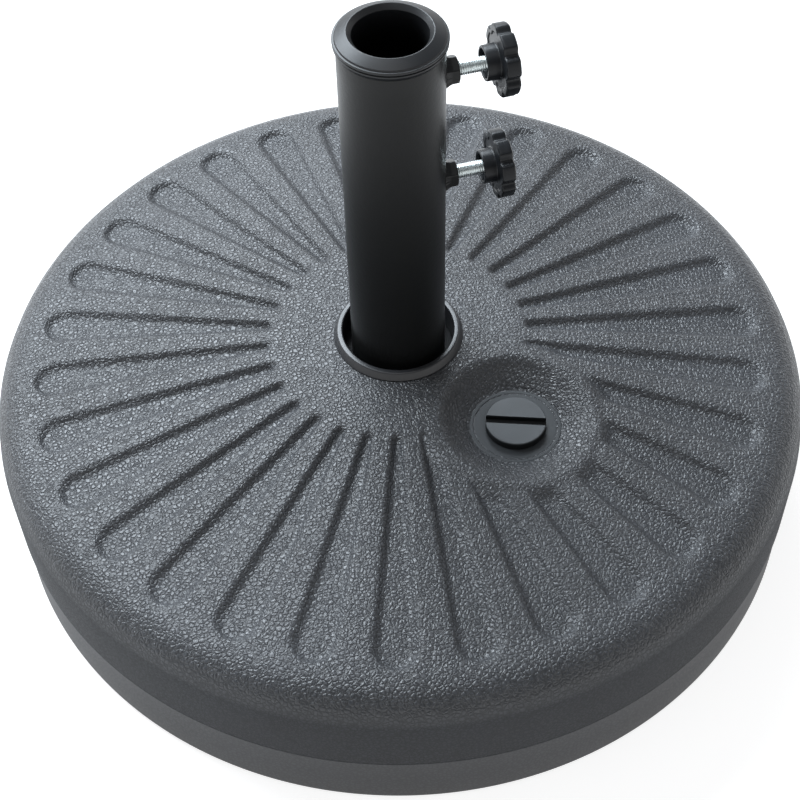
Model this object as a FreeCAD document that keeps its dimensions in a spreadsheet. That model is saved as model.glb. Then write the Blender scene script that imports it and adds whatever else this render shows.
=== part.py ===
"""Fillable parasol base: a round moulded tank with a screwed-in steel stand tube.

Frame: millimetres, +Z up, origin on the floor at the centre of the tank, +X along the two
clamp screws. Every driving size is a named cell of the sheet "sizes", and each piece is bound
to those cells.
"""
import FreeCAD, Part
import math
import os
import Sketcher

doc = FreeCAD.newDocument("parasol_base")
sheet = doc.addObject("Spreadsheet::Sheet", "sizes")

SIZES = [
    # tank
    ("tank_radius", 250.0),
    ("tank_height", 122.5),
    ("deck_drop", 19.7),
    ("crown_drop", 0.9),
    ("shoulder_radius", 21.0),
    ("wall_thickness", 3.5),
    ("seam_height", 21.0),
    ("seam_step", 0.8),
    ("bottom_round", 6.0),
    ("floor_ring_width", 109.2),
    ("floor_recess_height", 5.0),
    ("floor_ramp_run", 10.0),
    ("centre_flat_width", 7.3),
    ("crown_width", 27.0),
    # flutes moulded into the deck
    ("flute_count", 30.0),
    ("flute_inner_margin", 5.5),
    ("flute_outer_margin", 3.0),
    ("flute_inner_round", 4.5),
    ("flute_outer_round", 11.8),
    ("flute_depth", 2.5),
    ("flute_wall_run", 3.0),
    # filling opening and its plug
    ("plug_angle", -58.0),
    ("bowl_radius", 46.0),
    ("bowl_margin", 6.8),
    ("bowl_rim_width", 4.0),
    ("bowl_rim_run", 8.0),
    ("bowl_rim_root", 1.0),
    ("bowl_rim_proud", 2.0),
    ("neck_sink", 13.2),
    ("neck_flange_margin", 10.7),
    ("neck_flange_thickness", 4.0),
    ("neck_wall", 3.45),
    ("neck_length", 21.0),
    ("neck_lock_width", 3.0),
    ("neck_lock_thickness", 2.0),
    ("plug_thread_radius", 12.0),
    ("plug_thread_length", 17.0),
    ("plug_lead", 1.0),
    ("plug_wall", 3.0),
    ("plug_roof", 3.3),
    ("plug_head_overhang", 1.5),
    ("plug_head_thickness", 4.9),
    ("plug_head_round", 0.6),
    ("slot_width", 5.5),
    ("slot_depth", 3.6),
    ("slot_angle", 38.0),
    ("washer_width", 4.1),
    ("washer_thickness", 2.0),
    ("washer_proud", 0.3),
    # socket in the middle of the tank
    ("socket_wall", 3.5),
    ("socket_floor", 4.0),
    ("lip_overhang", 2.0),
    ("lip_height", 5.0),
    ("lip_round", 2.4),
    # stand tube, foot and top sleeve
    ("tube_radius", 28.5),
    ("tube_wall", 1.5),
    ("tube_length", 321.0),
    ("foot_wall", 5.35),
    ("foot_floor", 4.5),
    ("foot_sink", 12.5),
    ("rivet_radius", 2.35),
    ("rivet_rise", 24.5),
    ("rivet_sink", 0.9),
    ("rivet_head_radius", 3.8),
    ("rivet_head_thickness", 1.5),
    ("guide_depth", 6.95),
    ("guide_wall", 1.8),
    ("sleeve_rise", 11.5),
    ("sleeve_bevel", 2.6),
    ("sleeve_bevel_height", 3.0),
    ("sleeve_rim_flat", 0.8),
    ("sleeve_dome_in", 2.0),
    ("sleeve_dome_rise", 2.2),
    ("sleeve_lip_overhang", 1.6),
    ("sleeve_lip_height", 4.0),
    ("sleeve_lip_underside", 2.1),
    ("sleeve_lip_round", 1.0),
    ("sleeve_groove_height", 1.7),
    ("sleeve_groove_depth", 0.9),
    ("sleeve_band_height", 1.3),
    ("sleeve_band_in", 0.3),
    ("sleeve_skirt", 16.5),
    ("sleeve_skirt_wall", 1.8),
    ("sleeve_roof", 3.0),
    # clamp screws
    ("screw_drop", 2.0),
    ("screw_spacing", 72.5),
    ("screw_radius", 4.0),
    ("screw_lead", 0.5),
    ("screw_nose_step", 1.2),
    ("screw_nose_length", 2.1),
    ("nut_across_flats", 14.0),
    ("nut_height", 6.9),
    ("nut_bevel_angle", 30.0),
    ("pad_wall", 2.1),
    ("pad_setback", 1.9),
    ("pad_thickness", 3.5),
    ("pad_cup_depth", 2.2),
    ("screw_exposed", 14.4),
    ("hub_radius", 9.75),
    ("hub_wall", 1.95),
    ("hub_length", 7.2),
    ("hub_recess", 4.0),
    ("knob_radius", 20.5),
    ("knob_thickness", 8.1),
    ("knob_lobes", 8.0),
    ("knob_notch_radius", 4.0),
    ("knob_notch_depth", 2.0),
    ("knob_lobe_round", 1.4),
    ("knob_round", 0.9),
    ("bolt_head_flats", 13.0),
    ("bolt_head_height", 5.3),
    ("bolt_head_cover", 2.3),
    # clearances, and how far a cutting shape runs past the material
    ("weld_gap", 0.1),
    ("seat_gap", 0.2),
    ("tube_gap", 0.05),
    ("thread_gap", 0.05),
    ("washer_hole_gap", 0.4),
    ("washer_gap", 0.3),
    ("socket_thread_gap", 0.1),
    ("screw_hole_gap", 0.3),
    ("rivet_gap", 0.05),
    ("nose_gap", 0.1),
    ("cut_over", 1.0),
]

VALUES = {}
for row, (name, number) in enumerate(SIZES, start=1):
    sheet.set("A%d" % row, name.replace("_", " "))
    sheet.set("B%d" % row, repr(number))
    sheet.setAlias("B%d" % row, name)
    VALUES[name] = number
doc.recompute()


class Size:
    """A length or a ratio that knows its value now and its formula over the sheet's cells."""

    def __init__(self, value, text):
        self.value = value
        self.text = text

    def __add__(self, other):
        other = as_size(other)
        return Size(self.value + other.value, "(%s + %s)" % (self.text, other.text))

    def __radd__(self, other):
        return as_size(other) + self

    def __sub__(self, other):
        other = as_size(other)
        return Size(self.value - other.value, "(%s - %s)" % (self.text, other.text))

    def __rsub__(self, other):
        return as_size(other) - self

    def __mul__(self, other):
        other = as_size(other)
        return Size(self.value * other.value, "(%s * %s)" % (self.text, other.text))

    def __rmul__(self, other):
        return as_size(other) * self

    def __truediv__(self, other):
        other = as_size(other)
        return Size(self.value / other.value, "(%s / %s)" % (self.text, other.text))

    def __neg__(self):
        return Size(-self.value, "(0 - %s)" % self.text)


def as_size(item):
    """A plain number becomes a Size with its own digits as the formula."""
    return item if isinstance(item, Size) else Size(float(item), repr(float(item)))


def cell(name):
    """The Size held in one cell of the sheet."""
    return Size(VALUES[name], "sizes." + name)


def cosine(angle):
    return Size(math.cos(math.radians(angle.value)), "cos(%s * 1deg)" % angle.text)


def sine(angle):
    return Size(math.sin(math.radians(angle.value)), "sin(%s * 1deg)" % angle.text)


def root(item):
    return Size(math.sqrt(item.value), "sqrt(%s)" % item.text)


def tangent(angle):
    return sine(angle) / cosine(angle)


ZERO = Size(0.0, "0")


def bind(thing, path, size):
    """Bind one property of an object to a formula over the sheet."""
    thing.setExpression(path, size.text)


def new_body(label, turn=None, angle=None, at=None):
    """A PartDesign body with its own placement: a turn about an axis, then a shift."""
    body = doc.addObject("PartDesign::Body", label)
    body.Label = label
    turned = FreeCAD.Rotation(turn or FreeCAD.Vector(0, 0, 1), as_size(angle or 0.0).value)
    shift = [as_size(part) for part in (at or (0.0, 0.0, 0.0))]
    body.Placement = FreeCAD.Placement(FreeCAD.Vector(*[part.value for part in shift]), turned)
    if angle is not None and isinstance(angle, Size):
        bind(body, "Placement.Rotation.Angle", angle)
    for letter, part in zip("xyz", shift):
        if part.text.count("sizes."):
            bind(body, "Placement.Base." + letter, part)
    return body


def plane_of(body, role):
    """One of the body's own origin planes."""
    return next(item for item in body.Origin.OriginFeatures if item.Role == role)


def new_sketch(body, name, role, offset=None, tilt=None):
    """A sketch on an origin plane, moved within that plane's frame and tilted about its Y."""
    sketch = body.newObject("Sketcher::SketchObject", name)
    sketch.AttachmentSupport = [(plane_of(body, role), "")]
    sketch.MapMode = "FlatFace"
    shift = [as_size(part) for part in (offset or (0.0, 0.0, 0.0))]
    slope = as_size(tilt or 0.0)
    sketch.AttachmentOffset = FreeCAD.Placement(
        FreeCAD.Vector(*[part.value for part in shift]),
        FreeCAD.Rotation(FreeCAD.Vector(0, 1, 0), slope.value),
    )
    for letter, part in zip("xyz", shift):
        if part.text.count("sizes."):
            bind(sketch, "AttachmentOffset.Base." + letter, part)
    if slope.text.count("sizes."):
        bind(sketch, "AttachmentOffset.Rotation.Angle", slope)
    return sketch


def pin(sketch, kind, geometry, point, size):
    """Hold one coordinate of a point: on the axis when it is nought, else by a named length."""
    if abs(size.value) < 1e-9:
        sketch.addConstraint(
            Sketcher.Constraint("PointOnObject", geometry, point, -2 if kind == "DistanceX" else -1)
        )
        return
    if size.value > 0:
        index = sketch.addConstraint(
            Sketcher.Constraint(kind, -1, 1, geometry, point, size.value)
        )
        text = size.text
    else:
        index = sketch.addConstraint(
            Sketcher.Constraint(kind, geometry, point, -1, 1, -size.value)
        )
        text = (-size).text
    name = "size%d" % index
    sketch.renameConstraint(index, name)
    if "sizes." in text:
        sketch.setExpression("Constraints." + name, text)


def polygon(sketch, corners):
    """A closed outline of straight lines through the given corners."""
    corners = [(as_size(across), as_size(along)) for across, along in corners]
    vectors = [FreeCAD.Vector(across.value, along.value, 0) for across, along in corners]
    count = len(corners)
    first = None
    for number in range(count):
        line = Part.LineSegment(vectors[number], vectors[(number + 1) % count])
        index = sketch.addGeometry(line, False)
        first = index if first is None else first
    for number in range(count):
        following = first + (number + 1) % count
        sketch.addConstraint(Sketcher.Constraint("Coincident", first + number, 2, following, 1))
    for number, (across, along) in enumerate(corners):
        pin(sketch, "DistanceX", first + number, 1, across)
        pin(sketch, "DistanceY", first + number, 1, along)


def circle(sketch, radius, across=ZERO, along=ZERO):
    """A full circle at a place in the sketch."""
    centre = FreeCAD.Vector(across.value, along.value, 0)
    index = sketch.addGeometry(Part.Circle(centre, FreeCAD.Vector(0, 0, 1), radius.value), False)
    pin(sketch, "DistanceX", index, 3, across)
    pin(sketch, "DistanceY", index, 3, along)
    number = sketch.addConstraint(Sketcher.Constraint("Radius", index, radius.value))
    name = "size%d" % number
    sketch.renameConstraint(number, name)
    if "sizes." in radius.text:
        sketch.setExpression("Constraints." + name, radius.text)


def hexagon(sketch, across_flats):
    """A regular hexagon about the origin with two corners on the sketch's X axis."""
    corner = across_flats / math.sqrt(3.0)
    half = across_flats / 2.0
    quarter = corner / 2.0
    polygon(
        sketch,
        [
            (corner, ZERO),
            (quarter, half),
            (-quarter, half),
            (-corner, ZERO),
            (-quarter, -half),
            (quarter, -half),
        ],
    )


def tapered_slot(sketch, near, near_round, far, far_round):
    """Two round ends on the X axis joined by their two common tangents."""
    spread = math.asin((far_round.value - near_round.value) / (far.value - near.value))
    up = math.pi / 2 + spread

    def on(centre, radius, angle):
        return FreeCAD.Vector(centre + radius * math.cos(angle), radius * math.sin(angle), 0)

    near_top = on(near.value, near_round.value, up)
    near_low = on(near.value, near_round.value, -up)
    far_top = on(far.value, far_round.value, up)
    far_low = on(far.value, far_round.value, -up)
    normal = FreeCAD.Vector(0, 0, 1)
    near_circle = Part.Circle(FreeCAD.Vector(near.value, 0, 0), normal, near_round.value)
    far_circle = Part.Circle(FreeCAD.Vector(far.value, 0, 0), normal, far_round.value)
    near_arc = sketch.addGeometry(Part.ArcOfCircle(near_circle, up, 2 * math.pi - up), False)
    low = sketch.addGeometry(Part.LineSegment(near_low, far_low), False)
    far_arc = sketch.addGeometry(Part.ArcOfCircle(far_circle, -up, up), False)
    top = sketch.addGeometry(Part.LineSegment(far_top, near_top), False)
    sketch.addConstraint(Sketcher.Constraint("Tangent", near_arc, 2, low, 1))
    sketch.addConstraint(Sketcher.Constraint("Tangent", low, 2, far_arc, 1))
    sketch.addConstraint(Sketcher.Constraint("Tangent", far_arc, 2, top, 1))
    sketch.addConstraint(Sketcher.Constraint("Tangent", top, 2, near_arc, 1))
    for arc, centre, radius in ((near_arc, near, near_round), (far_arc, far, far_round)):
        pin(sketch, "DistanceX", arc, 3, centre)
        pin(sketch, "DistanceY", arc, 3, ZERO)
        number = sketch.addConstraint(Sketcher.Constraint("Radius", arc, radius.value))
        sketch.renameConstraint(number, "size%d" % number)
        if "sizes." in radius.text:
            sketch.setExpression("Constraints.size%d" % number, radius.text)


def revolve(body, name, corners, cut=False):
    """Turn an outline of (radius, height) corners about the sketch's upright axis."""
    sketch = new_sketch(body, name + "_outline", "XZ_Plane")
    polygon(sketch, corners)
    kind = "PartDesign::Groove" if cut else "PartDesign::Revolution"
    feature = body.newObject(kind, name)
    feature.Profile = sketch
    feature.ReferenceAxis = (sketch, ["V_Axis"])
    feature.Angle = 360.0
    sketch.Visibility = False
    settle(body, feature)
    return feature


def settle(body, feature):
    """Recompute and stop at once if the feature failed."""
    doc.recompute()
    states = [state for state in feature.State if state in ("Invalid", "Error")]
    if states or body.Shape.isNull():
        raise RuntimeError("%s in %s failed: %s" % (feature.Name, body.Label, feature.State))


def cut_volume(body, before, name):
    """A cut that removes nothing points the wrong way."""
    if body.Shape.Volume >= before - 1e-3:
        raise RuntimeError("%s in %s cut nothing" % (name, body.Label))


def pocket(body, name, sketch, length=None, both=False, reverse=False):
    """Cut a sketch out of the body, through everything when no length is given."""
    before = body.Shape.Volume
    feature = body.newObject("PartDesign::Pocket", name)
    feature.Profile = sketch
    if length is None:
        feature.Type = "ThroughAll"
    else:
        feature.Length = length.value
        bind(feature, "Length", length)
    feature.Midplane = both
    feature.Reversed = reverse
    sketch.Visibility = False
    settle(body, feature)
    cut_volume(body, before, name)
    return feature


def pad(body, name, sketch, length):
    """Raise a sketch along its normal."""
    feature = body.newObject("PartDesign::Pad", name)
    feature.Profile = sketch
    feature.Length = length.value
    bind(feature, "Length", length)
    sketch.Visibility = False
    settle(body, feature)
    return feature


def loft(body, name, lower, upper, cut=False):
    """A straight-sided loft between two sketches."""
    before = body.Shape.Volume
    kind = "PartDesign::SubtractiveLoft" if cut else "PartDesign::AdditiveLoft"
    feature = body.newObject(kind, name)
    feature.Profile = lower
    feature.Sections = [upper]
    feature.Ruled = True
    lower.Visibility = False
    upper.Visibility = False
    settle(body, feature)
    if cut:
        cut_volume(body, before, name)
    return feature


def polar(body, name, original, count):
    """Repeat a feature about the body's own Z axis."""
    feature = body.newObject("PartDesign::PolarPattern", name)
    feature.Originals = [original]
    axis = next(item for item in body.Origin.OriginFeatures if item.Role == "Z_Axis")
    feature.Axis = (axis, [""])
    feature.Angle = 360.0
    feature.Occurrences = int(count.value)
    bind(feature, "Occurrences", count)
    body.Tip = feature
    settle(body, feature)
    return feature


def rings(body, wanted):
    """Names of the body's full circular edges about Z, by (radius, height)."""
    names = []
    shape = body.Tip.Shape
    for number, edge in enumerate(shape.Edges, start=1):
        curve = edge.Curve
        if not isinstance(curve, Part.Circle):
            continue
        for radius, height in wanted:
            near = abs(curve.Radius - radius.value) < 1e-3
            if near and abs(curve.Center.z - height.value) < 1e-3:
                names.append("Edge%d" % number)
    return names


def fillet(body, name, names, radius):
    """Round the named edges of the body's last feature."""
    base = body.Tip
    feature = body.newObject("PartDesign::Fillet", name)
    feature.Base = (base, names)
    feature.Radius = radius.value
    bind(feature, "Radius", radius)
    settle(body, feature)
    return feature


# Shared places, all from the sheet: each fit is worked outwards from the part that it holds.
OVER = cell("cut_over")
WALL = cell("wall_thickness")
TUBE_R = cell("tube_radius")
TUBE_BORE = TUBE_R - cell("tube_wall")
FOOT_R = TUBE_R + cell("tube_gap") + cell("foot_wall")
SOCKET_BORE = FOOT_R + cell("socket_thread_gap")
SOCKET_R = SOCKET_BORE + cell("socket_wall")
WELL_R = SOCKET_R + cell("seat_gap")
CENTRE_R = WELL_R + cell("centre_flat_width")
CROWN_R = CENTRE_R + cell("crown_width")
TANK_R = cell("tank_radius")
BAND_R = TANK_R - cell("seam_step")
SIDE_IN = BAND_R - WALL
JOIN_R = TANK_R - cell("shoulder_radius")
FLOOR_R = SIDE_IN - cell("bottom_round")

CENTRE_Z = cell("tank_height")
CROWN_Z = CENTRE_Z - cell("crown_drop")
SHOULDER_Z = CENTRE_Z - cell("deck_drop")
NECK_Z = CENTRE_Z - cell("neck_sink")
FLOOR_Z = cell("floor_recess_height")
WELL_Z = FLOOR_Z + WALL + WALL
SOCKET_FLOOR_Z = WELL_Z + cell("socket_floor")
TUBE_FOOT_Z = SOCKET_FLOOR_Z + cell("foot_floor")
TUBE_TOP = TUBE_FOOT_Z + cell("tube_length")

SLOPE_RUN = TANK_R - CROWN_R
SLOPE_DROP = CROWN_Z - SHOULDER_Z
SLOPE_RATE = SLOPE_DROP / SLOPE_RUN
SLOPE_LONG = root(SLOPE_RUN * SLOPE_RUN + SLOPE_DROP * SLOPE_DROP)
SLOPE = Size(
    math.degrees(math.atan2(SLOPE_DROP.value, SLOPE_RUN.value)),
    "(atan(%s / %s) / 1deg)" % (SLOPE_DROP.text, SLOPE_RUN.text),
)
STRETCH = SLOPE_LONG / SLOPE_RUN
JOIN_Z = SHOULDER_Z + (TANK_R - JOIN_R) * SLOPE_RATE
DECK_WALL = WALL + cell("flute_depth")
DECK_UNDER_Z = CENTRE_Z - DECK_WALL

PLUG_ANGLE = cell("plug_angle")
PLUG_R = WELL_R + WALL + cell("bowl_margin") + cell("bowl_radius")
PLUG_X = PLUG_R * cosine(PLUG_ANGLE)
PLUG_Y = PLUG_R * sine(PLUG_ANGLE)
THREAD_R = cell("plug_thread_radius")
NECK_BORE = THREAD_R + cell("thread_gap")
NECK_R = NECK_BORE + cell("neck_wall")
WASHER_HOLE = THREAD_R + cell("washer_hole_gap")
WASHER_R = WASHER_HOLE + cell("washer_width")
HEAD_R = WASHER_R + cell("plug_head_overhang")
FLANGE_R = WASHER_R + cell("washer_gap") + cell("neck_flange_margin")
WASHER_TOP = NECK_Z + cell("washer_proud")
WASHER_LOW = WASHER_TOP - cell("washer_thickness")
SEAT_Z = NECK_Z - cell("neck_flange_thickness")
UNDER_Z = SEAT_Z - WALL

SCREW_R = cell("screw_radius")
NOSE_R = SCREW_R - cell("screw_nose_step")
PAD_R = NOSE_R + cell("nose_gap") + cell("pad_wall")
POLE_R = TUBE_BORE - cell("tube_gap") - cell("guide_depth")
UPPER_Z = TUBE_TOP - cell("sleeve_skirt") - cell("screw_drop") - PAD_R
LOWER_Z = UPPER_Z - cell("screw_spacing")
RIVET_Z = TUBE_FOOT_Z + cell("rivet_rise")
X_TURN = FreeCAD.Vector(0, 1, 0)
Z_TURN = FreeCAD.Vector(0, 0, 1)


def build_deck():
    """Fluted deck of the tank, a shallow cone with a bowl that holds the filling neck."""
    body = new_body("tank_deck", Z_TURN, PLUG_ANGLE)
    revolve(
        body,
        "deck",
        [
            (WELL_R, DECK_UNDER_Z),
            (CENTRE_R, DECK_UNDER_Z),
            (CROWN_R, CROWN_Z - DECK_WALL),
            (JOIN_R, JOIN_Z - DECK_WALL),
            (JOIN_R, JOIN_Z),
            (CROWN_R, CROWN_Z),
            (CENTRE_R, CENTRE_Z),
            (WELL_R, CENTRE_Z),
        ],
    )

    # One flute is a loft from its floor to its wider mouth, both parallel to the deck.
    run = cell("flute_wall_run")
    depth = cell("flute_depth")
    inner_round = cell("flute_inner_round")
    outer_round = cell("flute_outer_round")
    near = (cell("flute_inner_margin") + inner_round) * STRETCH
    far = (JOIN_R - cell("flute_outer_margin") - outer_round - CROWN_R) * STRETCH
    low = new_sketch(
        body,
        "flute_floor",
        "XY_Plane",
        (CROWN_R - depth * sine(SLOPE), ZERO, CROWN_Z - depth * cosine(SLOPE)),
        SLOPE,
    )
    tapered_slot(low, near, inner_round - run, far, outer_round - run)
    high = new_sketch(
        body,
        "flute_mouth",
        "XY_Plane",
        (CROWN_R + OVER * sine(SLOPE), ZERO, CROWN_Z + OVER * cosine(SLOPE)),
        SLOPE,
    )
    grow = OVER * run / depth
    tapered_slot(high, near, inner_round + grow, far, outer_round + grow)
    flute = loft(body, "flute", low, high, cut=True)
    polar(body, "flutes", flute, cell("flute_count"))

    # The bowl: a block under the deck, a flat rim round it, then a skewed cone cut into it.
    deck_z = CROWN_Z - (PLUG_R - CROWN_R) * SLOPE_RATE
    rim = cell("bowl_radius") + cell("bowl_rim_width")
    rim_foot = rim + cell("bowl_rim_run")
    rim_drop = depth + cell("bowl_rim_root")
    bowl_foot = FLANGE_R + cell("seat_gap")

    def level(name, radius, height):
        sketch = new_sketch(body, name, "XY_Plane", (PLUG_R, ZERO, height))
        circle(sketch, radius)
        return sketch

    def on_deck(name, radius, lift):
        sketch = new_sketch(
            body,
            name,
            "XY_Plane",
            (PLUG_R + lift * sine(SLOPE), ZERO, deck_z + lift * cosine(SLOPE)),
            SLOPE,
        )
        circle(sketch, radius)
        return sketch

    loft(body, "bowl_block", level("block_foot", bowl_foot + WALL, UNDER_Z),
         on_deck("block_head", rim_foot, -rim_drop))
    loft(body, "bowl_rim", on_deck("rim_foot", rim_foot, -rim_drop), on_deck("rim_head", rim, ZERO))
    # The rim is trimmed level with the deck in the middle, clear of the well, and stands a
    # little proud of the deck further out.
    revolve(
        body,
        "rim_trim",
        [
            (ZERO, WELL_Z),
            (WELL_R, WELL_Z),
            (WELL_R, CENTRE_Z),
            (CENTRE_R, CENTRE_Z),
            (CROWN_R, CROWN_Z),
            (TANK_R, SHOULDER_Z + cell("bowl_rim_proud")),
            (TANK_R, CENTRE_Z + rim),
            (ZERO, CENTRE_Z + rim),
        ],
        cut=True,
    )
    bowl_grow = OVER * (cell("bowl_radius") - bowl_foot) / (deck_z - NECK_Z)
    loft(body, "bowl", level("bowl_floor", bowl_foot, NECK_Z),
         on_deck("bowl_mouth", cell("bowl_radius") + bowl_grow, OVER), cut=True)
    seat = level("neck_seat_outline", bowl_foot, SEAT_Z)
    pocket(body, "neck_seat", seat, cell("neck_flange_thickness") + OVER, reverse=True)
    hole = level("neck_hole_outline", NECK_R + cell("seat_gap"), UNDER_Z - OVER)
    pocket(body, "neck_hole", hole, WALL + OVER + OVER, reverse=True)
    return body


def build_side():
    """Side of the tank: rounded shoulder, grained wall, and the smooth band it stands on."""
    body = new_body("tank_side", Z_TURN, PLUG_ANGLE)
    join = JOIN_R + cell("weld_gap")
    join_z = SHOULDER_Z + (TANK_R - join) * SLOPE_RATE
    inner_z = SHOULDER_Z + (TANK_R - SIDE_IN) * SLOPE_RATE - DECK_WALL
    floor = FLOOR_R + cell("weld_gap")
    revolve(
        body,
        "side",
        [
            (join, join_z - DECK_WALL),
            (SIDE_IN, inner_z),
            (SIDE_IN, WALL),
            (floor, WALL),
            (floor, ZERO),
            (BAND_R, ZERO),
            (BAND_R, cell("seam_height")),
            (TANK_R, cell("seam_height")),
            (TANK_R, SHOULDER_Z),
            (join, join_z),
        ],
    )
    fillet(body, "shoulder", rings(body, [(TANK_R, SHOULDER_Z)]), cell("shoulder_radius"))
    fillet(body, "bottom_edge", rings(body, [(BAND_R, ZERO)]), cell("bottom_round"))
    inside = cell("shoulder_radius") - DECK_WALL
    fillet(body, "shoulder_inside", rings(body, [(SIDE_IN, inner_z)]), inside)
    return body


def build_floor():
    """Floor of the tank, raised in the middle so that the base stands on its outer ring."""
    body = new_body("tank_floor", Z_TURN, PLUG_ANGLE)
    recess_r = BAND_R - cell("floor_ring_width")
    ramp = cell("floor_ramp_run")
    revolve(
        body,
        "floor",
        [
            (ZERO, FLOOR_Z),
            (recess_r, FLOOR_Z),
            (recess_r + ramp, ZERO),
            (FLOOR_R, ZERO),
            (FLOOR_R, WALL),
            (recess_r + ramp - WALL, WALL),
            (recess_r - WALL, FLOOR_Z + WALL),
            (ZERO, FLOOR_Z + WALL),
        ],
    )
    return body


def build_well():
    """Cup in the middle of the tank that the socket stands in, from the floor to the deck."""
    body = new_body("tank_well")
    revolve(
        body,
        "well",
        [
            (ZERO, WELL_Z - WALL),
            (WELL_R + WALL, WELL_Z - WALL),
            (WELL_R + WALL, DECK_UNDER_Z),
            (WELL_R, DECK_UNDER_Z),
            (WELL_R, WELL_Z),
            (ZERO, WELL_Z),
        ],
    )
    return body


def build_neck():
    """Threaded filling neck, moulded into the floor of the bowl between its two flanges."""
    body = new_body("fill_neck", at=(PLUG_X, PLUG_Y, ZERO))
    lock = NECK_R + cell("neck_lock_width")
    lock_z = UNDER_Z - cell("neck_lock_thickness")
    recess = WASHER_R + cell("washer_gap")
    revolve(
        body,
        "neck",
        [
            (NECK_BORE, NECK_Z - cell("neck_length")),
            (NECK_R, NECK_Z - cell("neck_length")),
            (NECK_R, lock_z),
            (lock, lock_z),
            (lock, UNDER_Z),
            (NECK_R, UNDER_Z),
            (NECK_R, SEAT_Z),
            (FLANGE_R, SEAT_Z),
            (FLANGE_R, NECK_Z),
            (recess, NECK_Z),
            (recess, WASHER_LOW),
            (NECK_BORE, WASHER_LOW),
        ],
    )
    return body


def build_washer():
    """Rubber washer that seals the plug and lifts with it."""
    body = new_body("fill_washer", at=(PLUG_X, PLUG_Y, ZERO))
    revolve(
        body,
        "washer",
        [
            (WASHER_HOLE, WASHER_LOW),
            (WASHER_R, WASHER_LOW),
            (WASHER_R, WASHER_TOP),
            (WASHER_HOLE, WASHER_TOP),
        ],
    )
    return body


def build_plug():
    """Hollow threaded plug with a coin slot across its round head."""
    body = new_body("fill_plug", Z_TURN, cell("slot_angle") + PLUG_ANGLE, (PLUG_X, PLUG_Y, ZERO))
    high = WASHER_TOP + cell("plug_head_thickness")
    foot = WASHER_TOP - cell("plug_thread_length")
    hollow = THREAD_R - cell("plug_wall")
    roof = high - cell("slot_depth") - cell("plug_roof")
    lead = cell("plug_lead")
    revolve(
        body,
        "plug",
        [
            (hollow, foot),
            (THREAD_R - lead, foot),
            (THREAD_R, foot + lead),
            (THREAD_R, WASHER_TOP),
            (HEAD_R, WASHER_TOP),
            (HEAD_R, high),
            (ZERO, high),
            (ZERO, roof),
            (hollow, roof),
        ],
    )
    fillet(body, "head_edge", rings(body, [(HEAD_R, high)]), cell("plug_head_round"))
    slot = new_sketch(body, "slot_outline", "XY_Plane", (ZERO, ZERO, high))
    half = cell("slot_width") / 2.0
    reach = HEAD_R + OVER
    polygon(slot, [(-reach, -half), (reach, -half), (reach, half), (-reach, half)])
    pocket(body, "slot", slot, cell("slot_depth"))
    return body


def build_socket():
    """Deep threaded socket moulded into the tank, with the rounded ring that shows round it."""
    body = new_body("socket_collar")
    lip = SOCKET_R + cell("lip_overhang")
    top = CENTRE_Z + cell("lip_height")
    revolve(
        body,
        "socket",
        [
            (ZERO, WELL_Z),
            (SOCKET_R, WELL_Z),
            (SOCKET_R, CENTRE_Z),
            (lip, CENTRE_Z),
            (lip, top),
            (SOCKET_BORE, top),
            (SOCKET_BORE, SOCKET_FLOOR_Z),
            (ZERO, SOCKET_FLOOR_Z),
        ],
    )
    edges = rings(body, [(lip, top), (SOCKET_BORE, top)])
    fillet(body, "lip_round_edges", edges, cell("lip_round"))
    return body


def rivet_holes(body):
    """Holes on both sides for the two foot rivets."""
    sketch = new_sketch(body, "rivet_hole_outline", "XZ_Plane")
    circle(sketch, cell("rivet_radius") + cell("rivet_gap"), ZERO, RIVET_Z)
    pocket(body, "rivet_holes", sketch, both=True)


def build_foot():
    """Plastic foot cup on the tube's lower end, threaded outside to screw into the socket."""
    body = new_body("tube_foot")
    inner = TUBE_R + cell("tube_gap")
    top = CENTRE_Z - cell("foot_sink")
    revolve(
        body,
        "foot",
        [
            (ZERO, SOCKET_FLOOR_Z),
            (FOOT_R, SOCKET_FLOOR_Z),
            (FOOT_R, top),
            (inner, top),
            (inner, TUBE_FOOT_Z),
            (ZERO, TUBE_FOOT_Z),
        ],
    )
    rivet_holes(body)
    return body


def build_rivet(label, angle):
    """Blind rivet through the foot cup and the tube wall, sunk below the foot's thread."""
    body = new_body(label, FreeCAD.Vector(1, 0, 0), angle, (ZERO, ZERO, RIVET_Z))
    outer = FOOT_R - cell("rivet_sink")
    head = cell("rivet_head_radius")
    inner = TUBE_BORE - head * head / (TUBE_BORE * 2.0) - cell("rivet_gap")
    end = inner - cell("rivet_head_thickness")
    revolve(
        body,
        label + "_solid",
        [
            (ZERO, end),
            (head, end),
            (head, inner),
            (cell("rivet_radius"), inner),
            (cell("rivet_radius"), outer),
            (ZERO, outer),
        ],
    )
    return body


def build_tube():
    """Steel stand tube with a clearance hole for each clamp screw."""
    body = new_body("stand_tube")
    revolve(
        body,
        "tube",
        [
            (TUBE_BORE, TUBE_FOOT_Z),
            (TUBE_R, TUBE_FOOT_Z),
            (TUBE_R, TUBE_TOP),
            (TUBE_BORE, TUBE_TOP),
        ],
    )
    holes = new_sketch(body, "screw_hole_outline", "YZ_Plane")
    radius = SCREW_R + cell("screw_hole_gap")
    circle(holes, radius, ZERO, UPPER_Z)
    circle(holes, radius, ZERO, LOWER_Z)
    pocket(body, "screw_holes", holes, TUBE_R + OVER, reverse=True)
    rivet_holes(body)
    return body


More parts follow.
